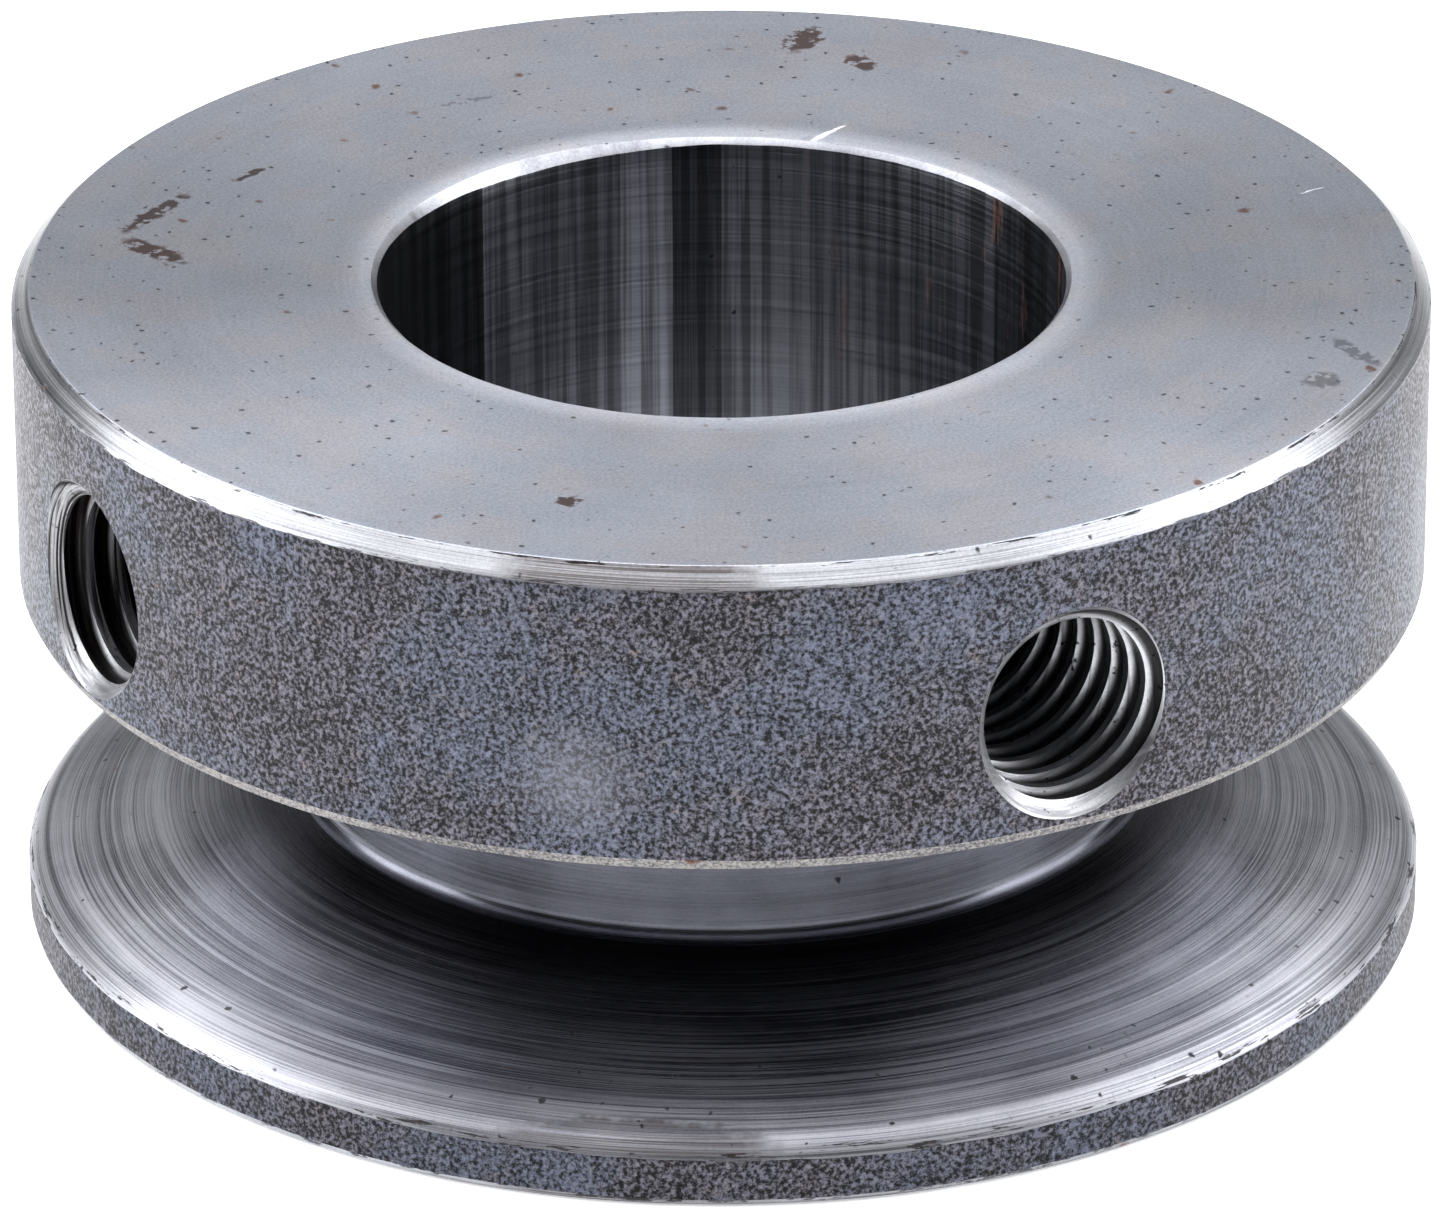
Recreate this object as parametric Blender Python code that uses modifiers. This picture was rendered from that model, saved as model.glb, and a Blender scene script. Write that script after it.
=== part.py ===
"""V-belt pulley turned from one piece of round bar, held on its shaft by two grub screws.

Metres, +Z up. The pulley's axis is Z, and it stands on its thin flange at Z = 0. The two
tapped holes point along -Y and -X, a quarter turn apart.
"""

import math

import bmesh
import bpy
from mathutils import Matrix, Vector

# Driving dimensions: the turned body
BAR_RADIUS = 0.0330  # both flanges keep the skin of the bar
BORE_RADIUS = 0.0160  # sliding fit on a 32 mm shaft
CORE_RADIUS = 0.0199  # floor of the belt groove
HUB_THICKNESS = 0.0145  # thick flange, which carries the screws
GROOVE_FLOOR = 0.0060  # width of the groove at its core
GROOVE_ANGLE = math.radians(34)  # between the two sides that the belt wedges against
RIM_THICKNESS = 0.0029  # thin flange, measured at the bar's skin
TOP_CHAMFER = 0.0009
BORE_CHAMFER = 0.0005
HUB_BREAK_DROP = 0.0005  # the broken edge under the hub is taller than it is deep
HUB_BREAK_DEPTH = 0.0003
FOOT_BREAK = 0.0002
GROOVE_ROUND = 0.0008  # tool radius in the two corners of the groove's floor
SHOULDER_ROUND = 0.0017  # where the groove's lower side runs out to the skin

# Driving dimensions: the screws
THREAD_RADIUS = 0.0050  # M10
SCREW_LENGTH = 0.0080
SCREW_REACH = 0.0040  # how far a point stands into the bore when run right in
SCREW_WALL = 0.0007  # skin left between a tapped hole and the hub's lower edge
THREAD_GAP = 0.0003
SOCKET_FLATS = 0.0050
SOCKET_DEPTH = 0.0040
CUP_RADIUS = 0.0025  # the sharp ring that bites into the shaft
CUP_DEPTH = 0.0012
SCREW_END_CHAMFER = 0.0007

# How finely round shapes are drawn
BODY_STEPS = 120
SCREW_STEPS = 40
ROUND_SEGMENTS = 4
SHARP_ANGLE = math.radians(25)  # an edge that turns further than this stays crisp

# Worked out from the dimensions above
SIDE_SLOPE = math.tan(GROOVE_ANGLE / 2)
SIDE_RISE = (BAR_RADIUS - CORE_RADIUS) * SIDE_SLOPE
HUB_EDGE_Z = RIM_THICKNESS + 2 * SIDE_RISE + GROOVE_FLOOR
HEIGHT = HUB_EDGE_Z + HUB_THICKNESS
SCREW_Z = HUB_EDGE_Z + SCREW_WALL + THREAD_RADIUS
SCREW_RADIUS = THREAD_RADIUS - THREAD_GAP

# Colour, roughness and metallic value of each material
BODY_FINISH = ((0.36, 0.37, 0.40, 1.0), 0.42, 1.0)
SCREW_FINISH = ((0.035, 0.035, 0.040, 1.0), 0.45, 1.0)


def clear_scene():
    for obj in list(bpy.data.objects):
        bpy.data.objects.remove(obj, do_unlink=True)


def make_collection(name):
    made = bpy.data.collections.new(name)
    bpy.context.scene.collection.children.link(made)
    return made


def make_material(name, finish):
    colour, roughness, metallic = finish
    material = bpy.data.materials.new(name)
    material.use_nodes = True
    shader = material.node_tree.nodes["Principled BSDF"]
    shader.inputs["Base Color"].default_value = colour
    shader.inputs["Roughness"].default_value = roughness
    shader.inputs["Metallic"].default_value = metallic
    material.diffuse_color = colour
    return material


def rounded(before, corner, after, radius):
    """Points of the arc that rounds a profile's corner, tangent to both of its sides."""
    into = (before - corner).normalized()
    out = (after - corner).normalized()
    half = into.angle(out) / 2
    centre = corner + (into + out).normalized() * (radius / math.sin(half))
    start = corner + into * (radius / math.tan(half)) - centre
    sweep = (math.pi - 2 * half) * (1 if into.cross(out) > 0 else -1)
    turns = [sweep * i / ROUND_SEGMENTS for i in range(ROUND_SEGMENTS + 1)]
    return [centre + Matrix.Rotation(-turn, 2) @ start for turn in turns]


def body_profile():
    """Section of the pulley at +X: down the outside, then back up the bore."""
    hub_root = Vector((CORE_RADIUS, HUB_EDGE_Z - SIDE_RISE))
    rim_root = Vector((CORE_RADIUS, RIM_THICKNESS + SIDE_RISE))
    hub_edge = Vector((BAR_RADIUS, HUB_EDGE_Z))
    shoulder = Vector((BAR_RADIUS, RIM_THICKNESS))
    foot = Vector((BAR_RADIUS, 0))
    break_root = hub_edge - Vector((HUB_BREAK_DEPTH, HUB_BREAK_DEPTH * SIDE_SLOPE))
    return [
        Vector((BAR_RADIUS - TOP_CHAMFER, HEIGHT)),
        Vector((BAR_RADIUS, HEIGHT - TOP_CHAMFER)),
        Vector((BAR_RADIUS, HUB_EDGE_Z + HUB_BREAK_DROP)),
        break_root,
        *rounded(hub_edge, hub_root, rim_root, GROOVE_ROUND),
        *rounded(hub_root, rim_root, shoulder, GROOVE_ROUND),
        *rounded(rim_root, shoulder, foot, SHOULDER_ROUND),
        Vector((BAR_RADIUS, FOOT_BREAK)),
        Vector((BAR_RADIUS - FOOT_BREAK, 0)),
        Vector((BORE_RADIUS + BORE_CHAMFER, 0)),
        Vector((BORE_RADIUS, BORE_CHAMFER)),
        Vector((BORE_RADIUS, HEIGHT - BORE_CHAMFER)),
        Vector((BORE_RADIUS + BORE_CHAMFER, HEIGHT)),
    ]


def screw_profile():
    """Half section of a grub screw: down its outside from the socket end to the cup's centre."""
    point_cone = SCREW_RADIUS - CUP_RADIUS
    return [
        Vector((0, SCREW_LENGTH)),
        Vector((SCREW_RADIUS - SCREW_END_CHAMFER, SCREW_LENGTH)),
        Vector((SCREW_RADIUS, SCREW_LENGTH - SCREW_END_CHAMFER)),
        Vector((SCREW_RADIUS, point_cone)),
        Vector((CUP_RADIUS, 0)),
        Vector((0, CUP_DEPTH)),
    ]


def turn(name, profile, steps, closed, material, collection):
    """A profile turned about Z by a Screw modifier, as on a lathe."""
    mesh = bpy.data.meshes.new(name)
    points = [(point.x, 0, point.y) for point in profile]
    edges = [(i, i + 1) for i in range(len(points) - 1)]
    if closed:
        edges.append((len(points) - 1, 0))
    mesh.from_pydata(points, edges, [])
    mesh.materials.append(material)
    obj = bpy.data.objects.new(name, mesh)
    collection.objects.link(obj)
    lathe = obj.modifiers.new("Lathe", "SCREW")
    lathe.steps = steps
    lathe.render_steps = steps
    lathe.use_merge_vertices = True
    lathe.merge_threshold = 0.00001
    lathe.use_smooth_shade = True
    return obj


def cut_by(obj, cutter):
    cut = obj.modifiers.new(cutter.name, "BOOLEAN")
    cut.operation = "DIFFERENCE"
    cut.solver = "EXACT"
    cut.object = cutter


def make_cutter(name, radius, start, end, sides, placing, cutters):
    """A prism or cylinder along its own Z from start to end, placed by a matrix."""
    shape = bmesh.new()
    shift = Matrix.Translation((0, 0, (start + end) / 2))
    bmesh.ops.create_cone(
        shape,
        cap_ends=True,
        segments=sides,
        radius1=radius,
        radius2=radius,
        depth=end - start,
        matrix=shift,
    )
    mesh = bpy.data.meshes.new(name)
    shape.to_mesh(mesh)
    shape.free()
    cutter = bpy.data.objects.new(name, mesh)
    cutters.objects.link(cutter)
    cutter.matrix_world = placing
    cutter.hide_render = True
    cutter.display_type = "WIRE"
    return cutter


def set_shading(obj):
    """Keeps round faces smooth and edges crisp, on the mesh that the modifiers leave."""
    graph = bpy.context.evaluated_depsgraph_get()
    mesh = bpy.data.meshes.new_from_object(obj.evaluated_get(graph))
    mesh.set_sharp_from_angle(angle=SHARP_ANGLE)
    obj.modifiers.clear()
    obj.data = mesh


def facing(turns):
    """Turns +Z to point out of the hub: along -Y, or further clockwise by quarter turns."""
    return Matrix.Rotation(-turns * math.pi / 2, 4, "Z") @ Matrix.Rotation(math.pi / 2, 4, "X")


def screw_placing(turns):
    """The screw's frame: its point stands in the bore, and +Z runs out along its hole."""
    outward = facing(turns)
    point = Vector((0, 0, SCREW_Z)) + outward @ Vector((0, 0, BORE_RADIUS - SCREW_REACH))
    return Matrix.Translation(point) @ outward


def make_body(material, parts, cutters):
    body = turn("pulley_body", body_profile(), BODY_STEPS, True, material, parts)
    for side, turns in (("front", 0), ("left", 1)):
        placing = Matrix.Translation((0, 0, SCREW_Z)) @ facing(turns)
        reach = (BORE_RADIUS / 2, BAR_RADIUS * 1.1)
        hole = make_cutter(
            f"tapped_hole_{side}", THREAD_RADIUS, *reach, SCREW_STEPS, placing, cutters
        )
        cut_by(body, hole)
    set_shading(body)


def make_grub_screw(side, turns, material, parts, cutters):
    placing = screw_placing(turns)
    screw = turn(f"grub_screw_{side}", screw_profile(), SCREW_STEPS, False, material, parts)
    screw.matrix_world = placing
    corner_radius = SOCKET_FLATS / math.sqrt(3)
    floor = SCREW_LENGTH - SOCKET_DEPTH
    socket = make_cutter(
        f"socket_{side}", corner_radius, floor, SCREW_LENGTH * 1.5, 6, placing, cutters
    )
    cut_by(screw, socket)
    set_shading(screw)


def main():
    clear_scene()
    parts = make_collection("v_belt_pulley")
    cutters = make_collection("cutters")
    body_steel = make_material("turned_bar_steel", BODY_FINISH)
    screw_steel = make_material("blackened_screw_steel", SCREW_FINISH)
    make_body(body_steel, parts, cutters)
    make_grub_screw("front", 0, screw_steel, parts, cutters)
    make_grub_screw("left", 1, screw_steel, parts, cutters)


main()
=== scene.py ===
# %% [markdown]
# # A turned steel V-belt pulley
# The pulley is one piece of round bar. A lathe faced its two ends, bored it, cut the belt groove
# and left the dark rolled skin of the bar on both rims. Two tapped holes in the thick flange hold
# grub screws. The lesson shapes the metal first, as surfaces worked out with numpy, and then gives
# every stretch of it the finish that its tool left behind.

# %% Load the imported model
import math

import bmesh
import bpy
import numpy as np
from mathutils import Matrix, Vector


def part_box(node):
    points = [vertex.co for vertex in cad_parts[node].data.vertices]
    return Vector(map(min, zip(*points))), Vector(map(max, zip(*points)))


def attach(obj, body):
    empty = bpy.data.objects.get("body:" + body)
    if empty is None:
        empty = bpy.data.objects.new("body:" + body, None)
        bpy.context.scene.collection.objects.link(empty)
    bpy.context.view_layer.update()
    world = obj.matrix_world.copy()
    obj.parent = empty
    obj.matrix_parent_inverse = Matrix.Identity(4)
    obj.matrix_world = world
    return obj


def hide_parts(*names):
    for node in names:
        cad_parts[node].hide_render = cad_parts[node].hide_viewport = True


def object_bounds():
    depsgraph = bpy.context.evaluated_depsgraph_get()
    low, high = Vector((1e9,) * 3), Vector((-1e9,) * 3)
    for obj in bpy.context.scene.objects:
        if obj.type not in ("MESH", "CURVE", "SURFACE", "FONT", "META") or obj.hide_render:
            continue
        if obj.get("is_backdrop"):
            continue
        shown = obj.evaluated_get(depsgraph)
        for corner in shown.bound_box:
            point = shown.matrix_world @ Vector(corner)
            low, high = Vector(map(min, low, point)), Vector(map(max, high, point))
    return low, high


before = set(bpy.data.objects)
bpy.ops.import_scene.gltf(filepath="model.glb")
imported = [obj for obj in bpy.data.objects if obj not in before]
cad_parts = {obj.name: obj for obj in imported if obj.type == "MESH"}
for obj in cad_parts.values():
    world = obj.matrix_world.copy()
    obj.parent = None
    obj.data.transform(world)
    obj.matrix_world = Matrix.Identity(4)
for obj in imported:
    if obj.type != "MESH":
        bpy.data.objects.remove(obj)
cad_low, cad_high = (tuple(corner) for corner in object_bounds())
print("CAD box in mm:", [round(1000 * (h - l), 2) for l, h in zip(cad_low, cad_high)])

# %% [markdown]
# The frame gives the sizes that the looks must keep to. A lathe works to a few of them: the bar's
# radius, the height and the bore. The rest are small cuts, so they are named here once in
# millimetres and turned into metres together, which keeps the numbers readable.

# %% Sizes of the turned body
MM = 0.001
bar = cad_high[0]
height = cad_high[2]
bore = 16.0 * MM
core = 19.9 * MM
hub_thickness = 14.5 * MM
hub_edge = height - hub_thickness
rim_edge = 2.9 * MM
GROOVE_ANGLE = 34
side_slope = math.tan(math.radians(GROOVE_ANGLE / 2))
print("groove mouth in mm:", round(1000 * (hub_edge - rim_edge), 2))

# %% [markdown]
# The two grub screws show where the tapped holes are: each one lies on its hole's axis. A hole is
# described by the direction that it points in and by its height, so both come from the screws.

# %% Where the tapped holes are
screw_low, screw_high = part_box("grub_screw_front")
hole_height = (screw_low.z + screw_high.z) / 2
screw_length = screw_high.y - screw_low.y
screw_point = -screw_high.y
PITCH = 1.5 * MM
MAJOR = 5.0 * MM
MINOR = 4.25 * MM
COUNTERSINK = MAJOR + 0.19 * MM
print("hole height, screw length in mm:", round(hole_height / MM, 2), round(screw_length / MM, 2))

# %% [markdown]
# The camera stands half a metre away with a long lens, a quarter of a right angle above the
# table, so the two rims are nearly the same width. It could be aimed with a constraint, but a
# matrix made from three directions does the same with nothing left live in the scene.

# %% Camera
EYE_TURN = math.radians(-28.5)
EYE_RISE = math.radians(23.68)
EYE_DISTANCE = 15.55 * bar
AIM_DROP = math.radians(25.34)
ROLL = math.radians(-0.174)
ORBIT_CENTRE = height - 0.914 * MM

sight = bpy.data.cameras.new("camera")
sight.lens = 275
sight.sensor_width = 36
sight.clip_end = 20
camera = bpy.data.objects.new("camera", sight)
bpy.context.scene.collection.objects.link(camera)
facing = Vector((math.sin(EYE_TURN), -math.cos(EYE_TURN), 0))
eye = Vector((0, 0, ORBIT_CENTRE))
eye = eye + EYE_DISTANCE * (math.cos(EYE_RISE) * facing + math.sin(EYE_RISE) * Vector((0, 0, 1)))
ahead = -math.cos(AIM_DROP) * facing - math.sin(AIM_DROP) * Vector((0, 0, 1))
right = ahead.cross(Vector((0, 0, 1))).normalized()
upward = right.cross(ahead)
turned = Matrix((right, upward, -ahead)).transposed().to_4x4()
camera.matrix_world = Matrix.Translation(eye) @ turned @ Matrix.Rotation(ROLL, 4, "Z")
bpy.context.scene.camera = camera
print("camera at", [round(v, 3) for v in eye])

# %% [markdown]
# Bare steel shows what is round it, so the light is a set of white panels and a white table. The
# panels are area lights, which a mirror still sees. One overhead fills the end face and the
# chamfers, the others stand in pairs to the left and right, and a faint one stands behind the
# pulley. Nothing stands behind the camera, which is why the front of the groove goes dark. The
# table lies a hair under the foot, so that the two faces never share a plane.

# %% Table and light
floor_mesh = bpy.data.meshes.new("table_top")
TABLE_HALF = 3.0
TABLE_TOP = -0.05 * MM
corners = [(x * TABLE_HALF, y * TABLE_HALF, TABLE_TOP)
           for x, y in ((-1, -1), (1, -1), (1, 1), (-1, 1))]
floor_mesh.from_pydata(corners, [], [(0, 1, 2, 3)])
table_top = bpy.data.objects.new("table_top", floor_mesh)
bpy.context.scene.collection.objects.link(table_top)
table_top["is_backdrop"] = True

white = bpy.data.materials.new("white_table")
white.use_nodes = True
white.node_tree.nodes["Principled BSDF"].inputs["Base Color"].default_value = (0.9, 0.9, 0.9, 1)
white.node_tree.nodes["Principled BSDF"].inputs["Roughness"].default_value = 0.9
white.node_tree.nodes["Principled BSDF"].inputs["Emission Color"].default_value = (1, 1, 1, 1)
white.node_tree.nodes["Principled BSDF"].inputs["Emission Strength"].default_value = 0.4
floor_mesh.materials.append(white)


def light_panel(name, turn, rise, distance, size, power):
    """A white panel aimed at the origin from distance * (cos(rise) * flat + sin(rise) * up).
    The flat direction is turned that much from the camera's. Both angles are in degrees."""
    lamp = bpy.data.lights.new(name, "AREA")
    lamp.shape = "RECTANGLE"
    lamp.size, lamp.size_y = size
    lamp.energy = power
    panel = bpy.data.objects.new(name, lamp)
    bpy.context.scene.collection.objects.link(panel)
    around = EYE_TURN + math.radians(turn)
    up = math.radians(rise)
    flat = Vector((math.sin(around), -math.cos(around), 0))
    place = distance * (math.cos(up) * flat + math.sin(up) * Vector((0, 0, 1)))
    facing_out = place.to_track_quat("Z", "Y").to_matrix().to_4x4()
    panel.matrix_world = Matrix.Translation(place) @ facing_out
    panel.visible_camera = False
    return panel


light_panel("overhead_panel", 0, 86, 0.40, (0.40, 0.36), 1.40)
light_panel("far_left_panel", -140, 50, 0.45, (0.20, 0.20), 0.60)
light_panel("far_right_panel", 140, 50, 0.45, (0.20, 0.20), 0.55)
light_panel("left_wing", -92, 46, 0.45, (0.36, 0.26), 0.55)
light_panel("right_wing", 92, 46, 0.45, (0.36, 0.26), 0.75)
light_panel("low_left_panel", -90, 18, 0.45, (0.30, 0.20), 1.00)
light_panel("low_right_panel", 90, 18, 0.45, (0.30, 0.20), 0.70)
light_panel("low_back_panel", 180, 22, 0.50, (0.80, 0.18), 0.20)

world = bpy.data.worlds.new("room")
world.use_nodes = True
world.node_tree.nodes["Background"].inputs["Color"].default_value = (0.8, 0.85, 0.95, 1)
world.node_tree.nodes["Background"].inputs["Strength"].default_value = 0.02
bpy.context.scene.world = world
bpy.context.scene.view_settings.view_transform = "Standard"

# %% [markdown]
# Every finish is a small recipe of nodes. Writing one by hand takes many lines for each node, so
# this helper adds a node, sets it, joins its inputs and returns its output, which makes a recipe
# read like a sum. All patterns use the object's own coordinates in millimetres.

# %% A helper for recipes of nodes
class Finish:
    """A material built step by step: each method adds one node and gives back its output."""

    def __init__(self, name, roughness=0.4, metallic=1.0, anisotropic=0.0):
        self.material = bpy.data.materials.new(name)
        self.material.use_nodes = True
        self.tree = self.material.node_tree
        self.shader = self.tree.nodes["Principled BSDF"]
        self.shader.inputs["Roughness"].default_value = roughness
        self.shader.inputs["Metallic"].default_value = metallic
        self.shader.inputs["Anisotropic"].default_value = anisotropic
        place = self.add("ShaderNodeTexCoord").outputs["Object"]
        self.mm = self.vector("SCALE", place, scale=1000)
        split = self.add("ShaderNodeSeparateXYZ")
        self.tree.links.new(self.mm, split.inputs[0])
        self.x, self.y, self.z = split.outputs
        self.radius = self.sum("SQRT", self.sum("ADD", self.sum("MULTIPLY", self.x, self.x),
                                                self.sum("MULTIPLY", self.y, self.y)))
        self.tool = self.sum("SUBTRACT", self.radius, self.z)

    def add(self, kind, **settings):
        """A new node of that kind, with those settings."""
        node = self.tree.nodes.new(kind)
        for key, value in settings.items():
            setattr(node, key, value)
        return node

    def join(self, value, socket):
        """Links an output to a socket, or sets the socket to a plain value."""
        if isinstance(value, bpy.types.NodeSocket):
            self.tree.links.new(value, socket)
        else:
            socket.default_value = value

    def sum(self, operation, a, b=0.0, clamp=False):
        """One step of arithmetic on two numbers, held to 0..1 when clamped."""
        node = self.add("ShaderNodeMath", operation=operation, use_clamp=clamp)
        self.join(a, node.inputs[0])
        self.join(b, node.inputs[1])
        return node.outputs[0]

    def vector(self, operation, a, b=(0, 0, 0), scale=1.0):
        """One step of arithmetic on vectors. A length or a dot product comes back as a number."""
        node = self.add("ShaderNodeVectorMath", operation=operation)
        self.join(a, node.inputs[0])
        if operation == "SCALE":
            self.join(scale, node.inputs["Scale"])
        elif operation not in ("NORMALIZE", "LENGTH"):
            self.join(b, node.inputs[1])
        return node.outputs["Value" if operation in ("LENGTH", "DOT_PRODUCT") else "Vector"]

    def point(self, x, y, z):
        """A vector from three numbers."""
        node = self.add("ShaderNodeCombineXYZ")
        for value, socket in zip((x, y, z), node.inputs):
            self.join(value, socket)
        return node.outputs[0]

    def noise(self, place, scale, detail=2.0, rough=0.5):
        """Cloudy noise from 0 to 1, with that many cells in a millimetre and octaves of detail."""
        node = self.add("ShaderNodeTexNoise")
        self.join(place, node.inputs["Vector"])
        node.inputs["Scale"].default_value = scale
        node.inputs["Detail"].default_value = detail
        node.inputs["Roughness"].default_value = rough
        return node.outputs["Fac"]

    def specks(self, scale, share, size, shift=0.0):
        """Round spots: this share of a pattern's cells has one, of a random size up to this one."""
        node = self.add("ShaderNodeTexVoronoi", feature="F1")
        ragged = self.vector("SCALE", self.cloud_of(2.5 * scale, shift), scale=0.35 / scale)
        self.join(self.vector("ADD", self.vector("ADD", self.mm, (shift, shift, shift)), ragged),
                  node.inputs["Vector"])
        node.inputs["Scale"].default_value = scale
        chance = self.add("ShaderNodeSeparateColor")
        self.join(node.outputs["Color"], chance.inputs[0])
        reach = self.band(chance.outputs[0], 1 - share, 1, 0, size)
        inside = self.sum("SUBTRACT", reach, node.outputs["Distance"])
        return self.sum("MULTIPLY", inside, 12, clamp=True)

    def cloud_of(self, scale, shift=0.0):
        """A soft noise in three channels, used to push other patterns about."""
        node = self.add("ShaderNodeTexNoise")
        self.join(self.vector("ADD", self.mm, (shift, -shift, shift)), node.inputs["Vector"])
        node.inputs["Scale"].default_value = scale
        node.inputs["Detail"].default_value = 1.0
        return self.vector("SUBTRACT", node.outputs["Color"], (0.5, 0.5, 0.5))

    def mark(self, x, y, length, width, turn=0.0, ragged=0.9):
        """A stain on an end face, in millimetres: an oval about (x, y), turned by some degrees.
        A noise moves its edge by up to half of ragged. The noise is shifted by x, so that marks
        in different places tear differently."""
        node = self.add("ShaderNodeMapping", vector_type="TEXTURE")
        torn = self.vector("SCALE", self.cloud_of(1.6, x), scale=ragged)
        flat = self.vector("MULTIPLY", self.mm, (1, 1, 0))
        self.join(self.vector("ADD", flat, torn), node.inputs[0])
        node.inputs["Location"].default_value = (x, y, 0)
        node.inputs["Rotation"].default_value = (0, 0, math.radians(turn))
        node.inputs["Scale"].default_value = (length / 2, width / 2, 1)
        away = self.vector("LENGTH", self.vector("MULTIPLY", node.outputs[0], (1, 1, 0)))
        return self.band(away, 1.15, 0.7)

    def ramp(self, value, stops, interpolation="LINEAR"):
        """A tone read off given stops, each a place from 0 to 1 with a grey or a colour."""
        node = self.add("ShaderNodeValToRGB")
        self.join(value, node.inputs[0])
        band = node.color_ramp
        band.interpolation = interpolation
        while len(band.elements) < len(stops):
            band.elements.new(0.5)
        for element, (place, grey) in zip(band.elements, stops):
            element.position = place
            element.color = (grey, grey, grey, 1) if isinstance(grey, float) else (*grey, 1)
        return node.outputs[0]

    def band(self, value, low, high, out_low=0.0, out_high=1.0):
        """The value stretched so that low to high becomes out_low to out_high, and held there."""
        node = self.add("ShaderNodeMapRange", interpolation_type="SMOOTHSTEP")
        for number, socket in zip((value, low, high, out_low, out_high), node.inputs):
            self.join(number, socket)
        return node.outputs[0]

    def blend(self, amount, a, b, mode="MIX"):
        """Colour a turned into b by that amount, or combined with it in another mode."""
        node = self.add("ShaderNodeMix", data_type="RGBA", blend_type=mode)
        self.join(amount, node.inputs[0])
        self.join(a, node.inputs[6])
        self.join(b, node.inputs[7])
        return node.outputs[2]

    def around(self, stretch, along):
        """A place that runs fast across the tool marks and slowly round the pulley. Across them it
        follows radius minus height, which changes on every cut, whichever way the cut faces."""
        turn = self.vector("NORMALIZE", self.vector("MULTIPLY", self.mm, (1, 1, 0)))
        turn = self.vector("SCALE", turn, scale=along)
        across = self.point(0, 0, self.sum("MULTIPLY", self.tool, stretch))
        return self.vector("ADD", turn, across)

    def relief(self, height, depth):
        """Bump of that depth in micrometres."""
        node = self.add("ShaderNodeBump")
        node.inputs["Strength"].default_value = 1.0
        node.inputs["Distance"].default_value = depth * 1e-6
        self.join(height, node.inputs["Height"])
        return node.outputs[0]

    def paint(self, colour, roughness, normal):
        """Gives the finished recipe to the shader, and the material back."""
        self.join(colour, self.shader.inputs["Base Color"])
        self.join(roughness, self.shader.inputs["Roughness"])
        self.join(normal, self.shader.inputs["Normal"])
        return self.material

    def brushed_round(self):
        """Lets highlights stretch across the tool marks, which run round the axis: the shader
        stretches them along its tangent, so the tangent is turned a quarter away from the marks."""
        self.shader.inputs["Anisotropic Rotation"].default_value = 0.25
        tangent = self.vector("CROSS_PRODUCT", (0, 0, 1), self.mm)
        turn = self.add("ShaderNodeVectorTransform", vector_type="VECTOR",
                        convert_from="OBJECT", convert_to="WORLD")
        self.join(self.vector("NORMALIZE", tangent), turn.inputs[0])
        self.join(turn.outputs[0], self.shader.inputs["Tangent"])


# %% [markdown]
# A lathe leaves rings, because its tool moves on a little with each turn. Light and dark rings
# could be drawn as an image, but noise that runs fast across the rings and slowly along them
# looks the same from any side and at any size. Dirt and rust are laid over the cut metal.

# %% Steel cut on a lathe
SOOT = (0.018, 0.018, 0.022, 1)
RUST = (0.20, 0.075, 0.035, 1)
STAIN = (0.055, 0.032, 0.025, 1)
RUST_SPOT = (-19.0, -26.5)
DARK_THREAD_SPOT = (-33, 5, 23)
RUBBED_SPOT = (-21, -25, 21)


class TurnedSteel(Finish):
    """Lathe-cut steel. Its tone runs from dark to light with 0.5 + the sum of
    4 * strength * (pattern - 0.5) over rings, a slow cloud and a fine grain. Specks of soot and
    rust lie on top, more of them for more dirt."""

    def __init__(self, name, light, dark, rings, cloud, grain, roughness,
                 anisotropic=0.5, dirt=0.02):
        super().__init__(name, roughness, 1.0, anisotropic)
        self.brushed_round()
        self.fine = self.noise(self.around(9.0, 1.3), 1.0, 3.0, 0.7)
        self.broad = self.noise(self.around(1.3, 0.7), 1.0, 2.0, 0.5)
        drift = self.noise(self.mm, 0.14, 3.0, 0.55)
        sand = self.noise(self.mm, 7.0, 2.0, 0.6)
        tone = 0.5
        for strength, pattern in ((rings, self.fine), (rings * 0.4, self.broad),
                                  (cloud, drift), (grain, sand)):
            lift = self.sum("MULTIPLY", self.sum("SUBTRACT", pattern, 0.5), 4 * strength)
            tone = self.sum("ADD", lift, tone)
        self.colour = self.blend(self.sum("MULTIPLY", tone, 1.0, clamp=True), dark, light)
        self.gloss = self.band(self.fine, 0.3, 0.7, roughness - 0.05, roughness + 0.07)
        self.stain(self.specks(1.1, dirt * 12, 0.17), SOOT, 0.85)
        self.stain(self.specks(0.45, dirt * 6, 0.16, 17.0), RUST, 0.8)

    def stain(self, where, colour, strength=1.0, roughness=0.6):
        """Turns the colour into another one where the pattern is 1, and roughens it there."""
        where = self.sum("MULTIPLY", where, strength)
        self.colour = self.blend(where, self.colour, colour)
        rougher = self.sum("MULTIPLY", where, roughness - 0.3)
        self.gloss = self.sum("ADD", self.gloss, rougher, clamp=True)

    def finish(self, depth, broad=1.0):
        """The material, with rings that deep in micrometres: fine + broad * the broad ones."""
        marks = self.sum("ADD", self.fine, self.sum("MULTIPLY", self.broad, broad))
        return self.paint(self.colour, self.gloss, self.relief(marks, depth))


# %% [markdown]
# The end was faced with a fine feed, so its rings hardly show. Oil and handling left a few brown
# crusts, dark smudges, a nick and a scratch on the upper end. Each is an oval with a torn edge,
# placed to the whole millimetre, and a noise breaks the crusts and smudges up.

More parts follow.
